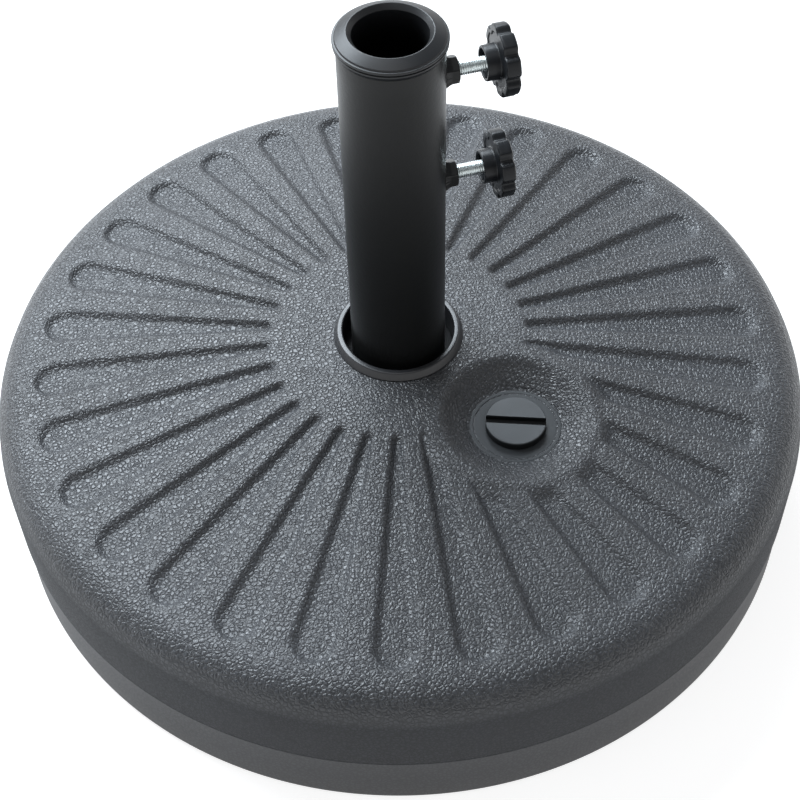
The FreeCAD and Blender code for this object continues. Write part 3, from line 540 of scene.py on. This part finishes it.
def tank_field(sizes, radius, angle):
    """Deck height at (radius, angle): the deck line less the flutes, raised to the bowl's rim
    and cut down to the bowl, whose side runs straight from its floor to its rim."""
    neck_low, neck_high = BOX["fill_neck"]
    centre = (neck_low + neck_high) / 2
    distance = math.hypot(centre.x, centre.y)
    bearing = neck_bearing()
    x, y = radius * np.cos(angle), radius * np.sin(angle)
    away = np.hypot(x - centre.x, y - centre.y)
    plain = deck_line(sizes, radius)
    outside = smooth_step((away - sizes.bowl_radius - sizes.bowl_rim) / (7 * MM))
    height = plain - flute_relief(sizes, radius, angle, bearing) * outside
    along = radius * np.cos(angle - bearing) - distance
    plane = deck_line(sizes, np.array(distance)) - along * deck_slope(sizes)
    rim_top = plane - np.maximum(away - sizes.bowl_radius - sizes.bowl_rim, 0) * 0.5
    trim = plain + 1.2 * MM * smooth_step((radius - sizes.crown_radius) / (50 * MM))
    height = soft_max(height, soft_min(rim_top, trim, 0.8 * MM), 1.5 * MM)
    floor_radius = (neck_high.x - neck_low.x) / 2 + 0.2 * MM
    floor = neck_high.z
    part = np.maximum((away - floor_radius) / (sizes.bowl_radius - floor_radius), 0)
    cone = floor + (plane - floor) * np.minimum(part, 1) + np.maximum(part - 1, 0) * 40 * MM
    height = soft_min(height, cone - 0.25 * MM * (1 - smooth_step(part * 6)), 4.0 * MM)
    height = np.where(away < floor_radius - SEAT_INSET, floor - SEAT_DEPTH, height)
    return np.where(away < NECK_HOLE, NECK_HOLE_FLOOR, height)


def tank_columns(sizes, start):
    """Angles round the tank, evenly spread, a whole number of steps to each flute."""
    pitch = 2 * math.pi / sizes.flute_count
    part = np.linspace(-1, 1, 21)[:-1]
    turns = np.arange(sizes.flute_count)[:, None]
    return (start + pitch * (turns + part[None, :] / 2)).ravel()


def tank_profile(sizes):
    """The tank's outline from the well's floor over the deck, wall and band to the underside."""
    r, seam = sizes.radius, sizes.seam_height
    band = r - sizes.seam_step
    deck_radii = np.concatenate([
        np.linspace(sizes.well_radius + 1.2 * MM, 74 * MM, 14, endpoint=False),
        np.linspace(74 * MM, 92 * MM, 12, endpoint=False),
        np.linspace(92 * MM, 146 * MM, 36, endpoint=False),
        np.linspace(146 * MM, 202 * MM, 14, endpoint=False),
        np.linspace(202 * MM, DECK_EDGE, 18),
    ])
    deck = np.stack([deck_radii, deck_line(sizes, deck_radii)], -1)
    well = rounded([
        (0, 12 * MM, 0), (sizes.well_radius, 12 * MM, 0),
        (sizes.well_radius, sizes.centre_height, 1.2 * MM),
        (deck_radii[0], sizes.centre_height, 0)], 4)[1:-1]
    outer = rounded([
        (DECK_EDGE, float(deck_line(sizes, np.array(DECK_EDGE))), 0),
        (r, sizes.shoulder_height, sizes.shoulder_radius),
        (r, seam + 1.6 * MM, 0.6 * MM),
        (r - 0.55 * MM, seam + 0.9 * MM, 0.4 * MM),
        (r - 0.05 * MM, seam + 0.1 * MM, 0.4 * MM),
        (band, seam - 0.7 * MM, 0.5 * MM),
        (band, 0, 6 * MM),
        (152 * MM, 0, 3 * MM),
        (140 * MM, 5 * MM, 3 * MM),
        (12 * MM, 5 * MM, 0),
    ], 5)
    outer = densify(outer[1:], 26 * MM)
    return np.vstack([well, deck, outer])


def make_tank():
    """The tank's whole skin as one closed grid: profile rows by angle columns."""
    sizes = bpy.context.scene.parasol_tank
    profile = tank_profile(sizes)
    angle = tank_columns(sizes, neck_bearing())[None, :]
    radius = profile[:, :1] + 0 * angle
    height = profile[:, 1:] + 0 * angle
    on_deck = profile[:, 1] > sizes.shoulder_height - 0.5 * MM
    on_deck &= profile[:, 0] > sizes.well_radius + 1.0 * MM
    on_deck &= profile[:, 0] < DECK_EDGE + 0.5 * MM
    shaped = tank_field(sizes, radius, angle)
    height = np.where(on_deck[:, None], shaped, height)
    points = rows_about_axis(radius, angle, height)
    piece = grid_mesh("tank_skin", points[::-1], pole_start=True, pole_end=True)
    dress(piece, "tank", "tank", "tank_plastic", *TANK_NODES)


# ---------------------------------------------------------------- round parts

def shift(points, x, y, z):
    """Moves a grid of points."""
    return points + np.array([x, y, z])


def make_neck():
    """Filling neck: a flat flange with a fine raised edge and a mould ring, and a helical
    thread in its bore, whose radius is a rounded saw wave of angle and height."""
    low, high = BOX["fill_neck"]
    centre = (low + high) / 2
    flange = (high.x - low.x) / 2
    top = high.z
    profile = rounded([
        (12.2 * MM, top - 1.7 * MM, 0), (16.8 * MM, top - 1.7 * MM, 0.1 * MM),
        (16.8 * MM, top - 0.25 * MM, 0.3 * MM), (24.4 * MM, top - 0.2 * MM, 0.3 * MM),
        (24.8 * MM, top - 0.45 * MM, 0.2 * MM), (25.3 * MM, top - 0.1 * MM, 0.3 * MM),
        (flange, top, 0.7 * MM), (flange, top - 4 * MM, 0), (15.5 * MM, top - 4 * MM, 0),
        (15.5 * MM, low.z, 0), (12.3 * MM, low.z, 0)], 4)
    bore = np.linspace(low.z, top - 1.7 * MM, 60)[:, None]
    angle = np.linspace(0, 2 * math.pi, 128, endpoint=False)[None, :]
    wave = np.abs(((bore / (4 * MM) - angle / (2 * math.pi)) % 1) * 2 - 1)
    radius = 12.1 * MM + 0.5 * MM * smooth_step(wave * 1.6 - 0.3)
    thread = rows_about_axis(radius, angle, bore)
    points = np.concatenate([lathe(profile, 128), thread])
    points = shift(points, centre.x, centre.y, 0)
    piece = grid_mesh("filling_neck", points[::-1], wrap_rows=True)
    dress(piece, "neck", "tank", "tank_plastic_smooth", "fill_neck")


def make_ring():
    """Socket: its rounded ring above the deck, and its deep plain bore with a closed floor."""
    low, high = BOX["socket_collar"]
    outer, top, base = high.x, high.z, low.z
    bore = 34.0 * MM
    profile = rounded([
        (2 * MM, base + 4 * MM, 0), (bore, base + 4 * MM, 0.5 * MM), (bore, top, 0.9 * MM),
        (outer - 2.3 * MM, top, 1.3 * MM), (outer, DECK_TOP + 0.7 * MM, 0.9 * MM),
        (outer, DECK_TOP, 0.2 * MM), (37.5 * MM, DECK_TOP, 0), (37.5 * MM, base, 0.5 * MM),
        (2 * MM, base, 0)], 8)
    points = lathe(densify(profile, 20 * MM), 128)[::-1]
    piece = grid_mesh("socket_ring", points, pole_start=True, pole_end=True)
    dress(piece, "socket", "tank", "socket_plastic", "socket_collar")


def make_sleeve():
    """Top sleeve: bevelled mouth, domed shoulder, rolled lip with a thin second lip below."""
    low, high = BOX["top_sleeve"]
    top, lip = high.z, high.x
    seat = BOX["stand_tube"][1].z
    bore = 20 * MM
    mouth = top - 2.0 * MM
    band = BOX["stand_tube"][1].x + 0.1 * MM
    profile = rounded([
        (bore, low.z, 0.3 * MM), (bore, mouth - 2.8 * MM, 0.9 * MM), (22.5 * MM, mouth, 0.6 * MM),
        (lip - 1.35 * MM, mouth - 3.1 * MM, 0.8 * MM), (lip - 1.2 * MM, mouth - 3.9 * MM, 0.1 * MM),
        (lip, mouth - 4.0 * MM, 0.5 * MM), (lip, mouth - 5.4 * MM, 0.4 * MM),
        (lip - 0.9 * MM, mouth - 5.6 * MM, 0.15 * MM), (lip - 0.9 * MM, mouth - 6.1 * MM, 0.15 * MM),
        (lip - 0.2 * MM, mouth - 6.3 * MM, 0.3 * MM), (lip - 0.2 * MM, mouth - 7.4 * MM, 0.3 * MM),
        (band, mouth - 7.7 * MM, 0.1 * MM), (band, seat + 0.02 * MM, 0),
        (26.9 * MM, seat + 0.02 * MM, 0), (26.9 * MM, low.z, 0.5 * MM),
        (25.1 * MM, low.z, 0.5 * MM), (25.1 * MM, seat - 3 * MM, 1 * MM),
        (21.8 * MM, seat - 3 * MM, 1 * MM), (21.8 * MM, low.z, 0.5 * MM)], 6)
    piece = grid_mesh("sleeve_skin", lathe(profile, 128)[::-1], wrap_rows=True)
    dress(piece, "sleeve", "tank", "sleeve_plastic", "top_sleeve")


def make_tube():
    """Stand tube: both walls with rounded ends, and a faint weld seam inside."""
    low, high = BOX["stand_tube"]
    outer, inner = high.x, high.x - 1.5 * MM
    profile = rounded([
        (inner, low.z + 60 * MM, 0), (inner, high.z, 0.3 * MM), (outer, high.z, 0.4 * MM),
        (outer, low.z, 0.4 * MM), (inner, low.z, 0.3 * MM)], 4)

    def seam(radius, height, angle):
        ridge = 0.35 * MM * np.exp(-((angle - math.pi * 0.8) / 0.03) ** 2)
        return np.where(radius < inner + 0.05 * MM, radius - ridge, radius), height

    points = lathe(densify(profile, 12 * MM), 160, seam)[::-1]
    piece = grid_mesh("tube_skin", points, wrap_rows=True)
    dress(piece, "coat", "tank", "tube_paint", "stand_tube")


# ---------------------------------------------------------------- clamp screws

def hexagon(angle, flats, round_off=0.985):
    """Radius of a hexagon with a corner at angle 0: half its flats over the cosine of the turn
    from the nearest flat's middle, with the corners eased off."""
    turn = (angle % (math.pi / 3)) - math.pi / 6
    return np.minimum(flats / 2 / np.cos(turn), flats / math.sqrt(3) * round_off)


def make_nut(node):
    """Weld nut: hexagon sides, a bevelled face and a weld bead that spreads on to the tube."""
    low, high = BOX[node]
    height = (low.z + high.z) / 2
    tube = BOX["stand_tube"][1].x
    flats = high.y - low.y
    angle = np.linspace(0, 2 * math.pi, 144, endpoint=False)[None, :]
    rise = np.concatenate([np.linspace(-0.12, 0.5, 14), np.linspace(0.55, 1, 14)])[:, None]
    side = hexagon(angle, flats)
    across = side * np.sin(angle)
    bed = np.sqrt(tube ** 2 - np.minimum(across ** 2, (tube * 0.9) ** 2))
    x = bed + (high.x - bed) * rise
    bead = 1.3 * MM * np.clip(1 - rise / 0.5, 0, 1) ** 1.6
    ripple = 1 + 0.12 * np.sin(angle * 17) + 0.08 * np.sin(angle * 29 + 1)
    bevel = flats / 2 + (high.x - x) * 1.7 - 0.1 * MM
    radius = np.minimum(side, bevel) + bead * ripple
    mouth = ((5.2 * MM, 0), (4.4 * MM, 0.3 * MM), (4.1 * MM, 0.8 * MM), (4.1 * MM, 8 * MM))
    rings = [rows_about_axis(radius, angle, x)]
    rings += [rows_about_axis(inner, angle, high.x - depth) for inner, depth in mouth]
    points = along_x(np.concatenate(rings), height)
    piece = grid_mesh(node + "_skin", points, wrap_rows=True)
    dress(piece, "coat", "tank", "tube_paint", node)


def make_bolt(node, body):
    """Clamp bolt: a helical thread whose radius is a trapezium wave of height minus turn, run
    out at both ends, with a plain nose for the pad and a hexagon head inside the knob."""
    low, high = BOX[node]
    height = (low.z + high.z) / 2
    shank, root, pitch = 4.0 * MM, 3.6 * MM, 1.25 * MM
    nose_end = low.x + 2.1 * MM
    head = high.x - 5.3 * MM
    angle = np.linspace(0, 2 * math.pi, 48, endpoint=False)[None, :]
    x = np.linspace(nose_end, head, 280)[:, None]
    wave = np.abs(((x / pitch - angle / (2 * math.pi)) % 1) * 2 - 1)
    crest = root + (shank - root) * np.clip(wave * 1.35 - 0.1, 0, 1)
    lead = np.clip((x - nose_end) / (1.2 * MM), 0, 1)
    crest = np.minimum(crest, 3.0 * MM + lead * 1.0 * MM)
    six = hexagon(angle, high.y - low.y)
    rows = [(0.3 * MM, low.x), (2.5 * MM, low.x), (2.8 * MM, low.x + 0.3 * MM), (2.8 * MM, nose_end),
            (crest, x), (six, head), (six, high.x - 0.3 * MM), (six * 0.96, high.x),
            (0.3 * MM, high.x)]
    points = np.concatenate([rows_about_axis(radius, angle, place) for radius, place in rows])
    piece = grid_mesh(node + "_thread", along_x(points, height), pole_start=True, pole_end=True)
    dress(piece, "zinc", body, "zinc_steel", node)


def make_knob(node, body):
    """Knob: a turned profile whose disc is drawn in at eight notches by a raised cosine of the
    angle, with a hollow hub towards the tube and a shallow dish in its front."""
    low, high = BOX[node]
    height = (low.z + high.z) / 2
    disc = 19.6 * MM
    hub, hub_in = 9.75 * MM, 7.9 * MM
    face, back, front = low.x, low.x + 7.2 * MM, high.x
    profile = rounded([
        (4.0 * MM, face + 4 * MM, 0), (hub_in - 0.3 * MM, face + 4 * MM, 0.4 * MM),
        (hub_in, face, 0.45 * MM), (hub - 0.2 * MM, face, 0.6 * MM),
        (hub, back + 0.3 * MM, 1.0 * MM), (disc - 4.6 * MM, back + 0.5 * MM, 0.8 * MM),
        (disc - 3.6 * MM, back, 0.8 * MM), (disc, back, 1.1 * MM), (disc, front, 1.5 * MM),
        (disc - 5 * MM, front - 0.1 * MM, 1 * MM), (disc - 7 * MM, front - 0.9 * MM, 1 * MM),
        (0.5 * MM, front - 0.9 * MM, 0)], 5)

    def lobes(radius, place, angle):
        turn = np.abs((angle * 8 / (2 * math.pi) + 0.5) % 1 - 0.5) * 2
        notch = 1 - smooth_step((turn - 0.02) / 0.5)
        pull = 2.4 * MM * notch * smooth_step((radius - 11.5 * MM) / (7 * MM))
        return radius - pull, place

    points = along_x(lathe(densify(profile, 1.6 * MM), 240, lobes), height)
    piece = grid_mesh(node + "_skin", points[::-1], pole_start=True)
    dress(piece, "knob", body, "knob_plastic", node)


# ---------------------------------------------------------------- stage

LAMP_AIM_HEIGHT = 0.12  # the lamps face the axis at about the deck's height
SURROUND_LIGHT = 0.2  # how strongly the surround lights the object
HORIZON = (0.26, 0.42)  # sines of the heights between which plain white fades to that light
FLOOR_GREY = 0.45  # the floor as the object sees it
FLOOR_GLOW = 0.85  # added to it where it is seen directly, in a reflection or through glass


def area_light(name, place, aim, width, height, power, tint):
    """A soft rectangular lamp at a place, facing a point."""
    data = bpy.data.lights.new(name, "AREA")
    data.shape = "RECTANGLE"
    data.size, data.size_y = width, height
    data.energy = power
    data.color = tint
    lamp = bpy.data.objects.new(name, data)
    lamp.location = place
    lamp.rotation_mode = "QUATERNION"
    lamp.rotation_quaternion = (Vector(aim) - Vector(place)).to_track_quat("-Z", "Y")
    bpy.context.scene.collection.objects.link(lamp)


def plain_rays(tree):
    """1 for camera, glossy and transmission rays, 0 for the rest."""
    path = tree.nodes.new("ShaderNodeLightPath")
    total = path.outputs["Is Camera Ray"]
    for ray in ("Is Glossy Ray", "Is Transmission Ray"):
        both = tree.nodes.new("ShaderNodeMath")
        both.operation = "MAXIMUM"
        tree.links.new(total, both.inputs[0])
        tree.links.new(path.outputs[ray], both.inputs[1])
        total = both.outputs[0]
    return total


def make_stage():
    """Pale floor, white surround, soft lamps and the camera."""
    scene = bpy.context.scene
    scene.view_settings.view_transform = "Standard"
    settings = scene.parasol_stage
    world = scene.world or bpy.data.worlds.new("surround")
    scene.world = world
    world.use_nodes = True
    tree = world.node_tree
    tree.nodes.clear()
    output = tree.nodes.new("ShaderNodeOutputWorld")
    light = tree.nodes.new("ShaderNodeBackground")
    light.inputs["Color"].default_value = (0.93, 0.96, 1.0, 1)
    light.inputs["Strength"].default_value = SURROUND_LIGHT
    seen = tree.nodes.new("ShaderNodeBackground")
    seen.inputs["Strength"].default_value = 1.0
    seen.inputs["Color"].default_value = (1, 1, 1, 1)
    mix = tree.nodes.new("ShaderNodeMixShader")
    way = tree.nodes.new("ShaderNodeSeparateXYZ")
    tree.links.new(tree.nodes.new("ShaderNodeTexCoord").outputs["Generated"], way.inputs[0])
    low = tree.nodes.new("ShaderNodeMapRange")
    tree.links.new(way.outputs[2], low.inputs["Value"])
    for end, value in zip(("From Min", "From Max", "To Min", "To Max"), (*HORIZON, 1.0, 0.0)):
        low.inputs[end].default_value = value
    both = tree.nodes.new("ShaderNodeMath")
    both.operation = "MULTIPLY"
    tree.links.new(plain_rays(tree), both.inputs[0])
    tree.links.new(low.outputs["Result"], both.inputs[1])
    tree.links.new(both.outputs[0], mix.inputs[0])
    tree.links.new(light.outputs[0], mix.inputs[1])
    tree.links.new(seen.outputs[0], mix.inputs[2])
    tree.links.new(mix.outputs[0], output.inputs[0])

    half, level = 6.0, -0.5 * MM
    mesh = bpy.data.meshes.new("studio_floor")
    corners = [(-half, -half, level), (half, -half, level), (half, half, level), (-half, half, level)]
    mesh.from_pydata(corners, [], [(0, 1, 2, 3)])
    floor = bpy.data.objects.new("studio_floor", mesh)
    scene.collection.objects.link(floor)
    paper = bpy.data.materials.new("pale floor")
    paper.use_nodes = True
    nodes, links = paper.node_tree.nodes, paper.node_tree.links
    matt = nodes["Principled BSDF"]
    matt.inputs["Base Color"].default_value = (FLOOR_GREY, FLOOR_GREY, FLOOR_GREY, 1)
    matt.inputs["Roughness"].default_value = 0.9
    glow = nodes.new("ShaderNodeEmission")
    glow.inputs["Color"].default_value = (1, 1, 1, 1)
    glow.inputs["Strength"].default_value = FLOOR_GLOW
    both = nodes.new("ShaderNodeAddShader")
    links.new(matt.outputs[0], both.inputs[0])
    links.new(glow.outputs[0], both.inputs[1])
    pick = nodes.new("ShaderNodeMixShader")
    links.new(plain_rays(paper.node_tree), pick.inputs[0])
    links.new(matt.outputs[0], pick.inputs[1])
    links.new(both.outputs[0], pick.inputs[2])
    links.new(pick.outputs[0], nodes["Material Output"].inputs[0])
    mesh.materials.append(paper)

    turn = settings.azimuth
    left = Vector((-math.cos(turn), -math.sin(turn), 0))
    away = Vector((-math.sin(turn), math.cos(turn), 0))
    target = (0, 0, LAMP_AIM_HEIGHT)
    lamps = (
        ("left_window", 0.78, 1.15, 1.62, 2.2, 1.2, 95, (0.84, 0.925, 1.0)),
        ("top_panel", 0.2, -0.3, 1.9, 1.2, 1.2, 5, (1, 1, 1)),
        ("right_fill", -1.6, -0.4, 0.9, 0.8, 0.8, 0.3, (0.85, 0.92, 1.0)),
    )
    for name, to_left, to_back, up_by, width, height, power, tint in lamps:
        place = left * to_left + away * to_back + Vector((0, 0, up_by))
        area_light(name, place, target, width, height, power, tint)

    data = bpy.data.cameras.new("view")
    data.sensor_width = 36.0
    data.lens = settings.lens
    camera = bpy.data.objects.new("view", data)
    rise = settings.elevation
    back = Vector((math.sin(turn) * math.cos(rise), -math.cos(turn) * math.cos(rise), math.sin(rise)))
    right = Vector((math.cos(turn), math.sin(turn), 0))
    up = back.cross(right)
    lean_cos, lean_sin = math.cos(settings.roll), math.sin(settings.roll)
    right, up = right * lean_cos + up * lean_sin, up * lean_cos - right * lean_sin
    place = Vector((0, 0, settings.aim_height)) + back * settings.distance
    matrix = Matrix.Identity(4)
    for row in range(3):
        matrix[row] = (right[row], up[row], back[row], place[row])
    camera.matrix_world = matrix
    scene.collection.objects.link(camera)
    scene.camera = camera


# ---------------------------------------------------------------- add-on

class MakeTank(bpy.types.Operator):
    """Make the fluted tank skin"""

    bl_idname = "parasol.make_tank"
    bl_label = "Make tank"

    def execute(self, context):
        make_tank()
        return {"FINISHED"}


class MakeRoundParts(bpy.types.Operator):
    """Make the neck, socket ring, tube and sleeve, and finish the small CAD pieces"""

    bl_idname = "parasol.make_round_parts"
    bl_label = "Make neck, socket, tube and sleeve"

    def execute(self, context):
        make_neck()
        make_ring()
        make_sleeve()
        make_tube()
        repaint("fill_plug", "plug")
        repaint("fill_washer", "rubber")
        repaint("tube_foot", "foot")
        repaint("foot_rivet_right", "rivet")
        repaint("foot_rivet_left", "rivet")
        return {"FINISHED"}


class MakeScrews(bpy.types.Operator):
    """Make both clamp screws with their weld nuts and knobs"""

    bl_idname = "parasol.make_clamp_screws"
    bl_label = "Make clamp screws"

    def execute(self, context):
        for level in ("upper", "lower"):
            make_nut(level + "_weld_nut")
            make_bolt(level + "_clamp_bolt", level + "_clamp")
            make_knob(level + "_knob", level + "_clamp")
            repaint(level + "_pressure_pad", "knob")
        return {"FINISHED"}


class MakeFinishes(bpy.types.Operator):
    """Make every material"""

    bl_idname = "parasol.make_finishes"
    bl_label = "Make finishes"

    def execute(self, context):
        make_finishes()
        return {"FINISHED"}


class MakeStage(bpy.types.Operator):
    """Make the floor, lamps and camera"""

    bl_idname = "parasol.make_stage"
    bl_label = "Make stage"

    def execute(self, context):
        make_stage()
        return {"FINISHED"}


OPERATORS = (MakeFinishes, MakeTank, MakeRoundParts, MakeScrews, MakeStage)


class ParasolPanel(bpy.types.Panel):
    """Lists the operators of the parasol base"""

    bl_idname = "VIEW3D_PT_parasol_base"
    bl_label = "Parasol base"
    bl_space_type = "VIEW_3D"
    bl_region_type = "UI"
    bl_category = "Parasol base"

    def draw(self, context):
        for operator in OPERATORS:
            self.layout.operator(operator.bl_idname)


CLASSES = (TankSizes, StageSettings, BaseColours, *OPERATORS, ParasolPanel)


def register():
    for item in CLASSES:
        bpy.utils.register_class(item)
    bpy.types.Scene.parasol_tank = PointerProperty(type=TankSizes)
    bpy.types.Scene.parasol_stage = PointerProperty(type=StageSettings)
    bpy.types.Scene.parasol_colours = PointerProperty(type=BaseColours)


def unregister():
    del bpy.types.Scene.parasol_tank
    del bpy.types.Scene.parasol_stage
    del bpy.types.Scene.parasol_colours
    for item in reversed(CLASSES):
        bpy.utils.unregister_class(item)


def main():
    """Registers the add-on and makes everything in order."""
    register()
    bpy.ops.parasol.make_finishes()
    bpy.ops.parasol.make_tank()
    bpy.ops.parasol.make_round_parts()
    bpy.ops.parasol.make_clamp_screws()
    bpy.ops.parasol.make_stage()


if __name__ == "__main__":
    main()
